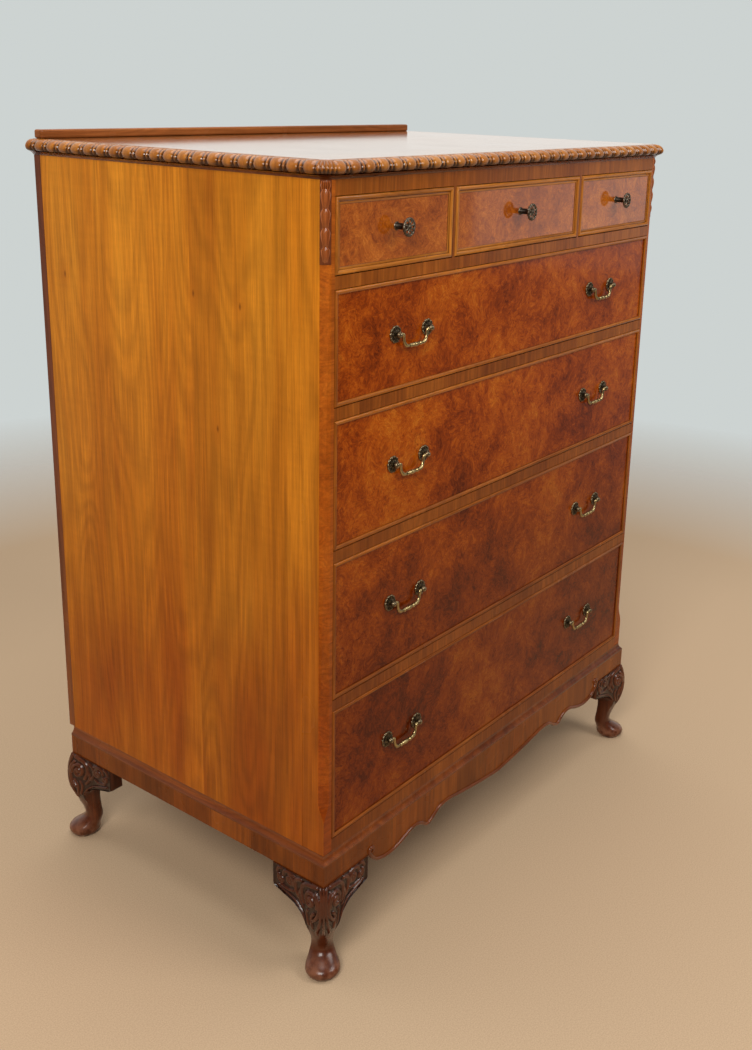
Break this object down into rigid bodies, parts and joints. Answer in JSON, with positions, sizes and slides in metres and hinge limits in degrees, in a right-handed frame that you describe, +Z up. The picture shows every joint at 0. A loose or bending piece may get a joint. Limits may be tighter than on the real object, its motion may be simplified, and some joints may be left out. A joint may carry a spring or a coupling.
{
  "type": "tall chest of drawers",
  "caption": "Tall walnut chest on short cabriole legs, with small drawers over long ones, round knobs, swinging bail handles, a carved top edge and a shaped apron.",
  "frame": {"origin": "on the floor under the middle of the whole chest", "axes": "+Z up, the drawers face -Y, +X is the right side as seen from the front"},
  "size_m": [0.928, 0.5998, 1.1814],
  "materials": {
    "walnut_veneer": "polished straight-grained walnut veneer",
    "dark_walnut": "polished dark red-brown walnut",
    "burr_walnut": "polished burr walnut veneer",
    "bead_walnut": "polished light walnut",
    "plain_wood": "unpolished secondary wood",
    "old_brass": "worn antique brass"
  },
  "bodies": {
    "carcase": {"top_board": "walnut_veneer", "carved_top_edge": "dark_walnut", "top_under_moulding": "dark_walnut", "back_gallery": "walnut_veneer", "side_panel_left": "walnut_veneer", "side_panel_right": "walnut_veneer", "corner_posts": "walnut_veneer", "husk_carvings": "dark_walnut", "rear_stiles": "dark_walnut", "back_panel": "plain_wood", "drawer_rails": "walnut_veneer", "drawer_runners": "plain_wood", "dust_boards": "plain_wood", "drawer_dividers": "walnut_veneer", "plinth_rails": "walnut_veneer", "plinth_moulding": "dark_walnut", "apron": "walnut_veneer", "leg_brackets": "dark_walnut", "corner_blocks": "plain_wood", "leg_front_left": "dark_walnut", "leg_front_right": "dark_walnut", "leg_rear_left": "dark_walnut", "leg_rear_right": "dark_walnut"},
    "small_drawer_left": {"small_drawer_left_front": "burr_walnut", "small_drawer_left_beads": "bead_walnut", "small_drawer_left_box": "plain_wood", "small_drawer_left_knob": "old_brass"},
    "small_drawer_middle": {"small_drawer_middle_front": "burr_walnut", "small_drawer_middle_beads": "bead_walnut", "small_drawer_middle_box": "plain_wood", "small_drawer_middle_knob": "old_brass"},
    "small_drawer_right": {"small_drawer_right_front": "burr_walnut", "small_drawer_right_beads": "bead_walnut", "small_drawer_right_box": "plain_wood", "small_drawer_right_knob": "old_brass"},
    "drawer_one": {"drawer_one_front": "burr_walnut", "drawer_one_beads": "bead_walnut", "drawer_one_box": "plain_wood", "drawer_one_handle_posts": "old_brass"},
    "drawer_one_bail_left": {"drawer_one_bail_left": "old_brass"},
    "drawer_one_bail_right": {"drawer_one_bail_right": "old_brass"},
    "drawer_two": {"drawer_two_front": "burr_walnut", "drawer_two_beads": "bead_walnut", "drawer_two_box": "plain_wood", "drawer_two_handle_posts": "old_brass"},
    "drawer_two_bail_left": {"drawer_two_bail_left": "old_brass"},
    "drawer_two_bail_right": {"drawer_two_bail_right": "old_brass"},
    "drawer_three": {"drawer_three_front": "burr_walnut", "drawer_three_beads": "bead_walnut", "drawer_three_box": "plain_wood", "drawer_three_handle_posts": "old_brass"},
    "drawer_three_bail_left": {"drawer_three_bail_left": "old_brass"},
    "drawer_three_bail_right": {"drawer_three_bail_right": "old_brass"},
    "drawer_four": {"drawer_four_front": "burr_walnut", "drawer_four_beads": "bead_walnut", "drawer_four_box": "plain_wood", "drawer_four_handle_posts": "old_brass"},
    "drawer_four_bail_left": {"drawer_four_bail_left": "old_brass"},
    "drawer_four_bail_right": {"drawer_four_bail_right": "old_brass"}
  },
  "joints": [
    {"name": "small_drawer_left_slide", "type": "slide", "parent": "carcase", "child": "small_drawer_left", "axis": [0, -1, 0], "range_m": [0, 0.38]},
    {"name": "small_drawer_middle_slide", "type": "slide", "parent": "carcase", "child": "small_drawer_middle", "axis": [0, -1, 0], "range_m": [0, 0.38]},
    {"name": "small_drawer_right_slide", "type": "slide", "parent": "carcase", "child": "small_drawer_right", "axis": [0, -1, 0], "range_m": [0, 0.38]},
    {"name": "drawer_one_slide", "type": "slide", "parent": "carcase", "child": "drawer_one", "axis": [0, -1, 0], "range_m": [0, 0.38]},
    {"name": "drawer_one_bail_left_swing", "type": "hinge", "parent": "drawer_one", "child": "drawer_one_bail_left", "pos_m": [-0.264, -0.2839, 0.9354], "axis": [-1, 0, 0], "range_deg": [-14, 170]},
    {"name": "drawer_one_bail_right_swing", "type": "hinge", "parent": "drawer_one", "child": "drawer_one_bail_right", "pos_m": [0.264, -0.2839, 0.9354], "axis": [-1, 0, 0], "range_deg": [-14, 170]},
    {"name": "drawer_two_slide", "type": "slide", "parent": "carcase", "child": "drawer_two", "axis": [0, -1, 0], "range_m": [0, 0.38]},
    {"name": "drawer_two_bail_left_swing", "type": "hinge", "parent": "drawer_two", "child": "drawer_two_bail_left", "pos_m": [-0.264, -0.2839, 0.7521], "axis": [-1, 0, 0], "range_deg": [-14, 170]},
    {"name": "drawer_two_bail_right_swing", "type": "hinge", "parent": "drawer_two", "child": "drawer_two_bail_right", "pos_m": [0.264, -0.2839, 0.7521], "axis": [-1, 0, 0], "range_deg": [-14, 170]},
    {"name": "drawer_three_slide", "type": "slide", "parent": "carcase", "child": "drawer_three", "axis": [0, -1, 0], "range_m": [0, 0.38]},
    {"name": "drawer_three_bail_left_swing", "type": "hinge", "parent": "drawer_three", "child": "drawer_three_bail_left", "pos_m": [-0.264, -0.2839, 0.54355], "axis": [-1, 0, 0], "range_deg": [-14, 170]},
    {"name": "drawer_three_bail_right_swing", "type": "hinge", "parent": "drawer_three", "child": "drawer_three_bail_right", "pos_m": [0.264, -0.2839, 0.54355], "axis": [-1, 0, 0], "range_deg": [-14, 170]},
    {"name": "drawer_four_slide", "type": "slide", "parent": "carcase", "child": "drawer_four", "axis": [0, -1, 0], "range_m": [0, 0.38]},
    {"name": "drawer_four_bail_left_swing", "type": "hinge", "parent": "drawer_four", "child": "drawer_four_bail_left", "pos_m": [-0.264, -0.2839, 0.32325], "axis": [-1, 0, 0], "range_deg": [-14, 170]},
    {"name": "drawer_four_bail_right_swing", "type": "hinge", "parent": "drawer_four", "child": "drawer_four_bail_right", "pos_m": [0.264, -0.2839, 0.32325], "axis": [-1, 0, 0], "range_deg": [-14, 170]}
  ]
}
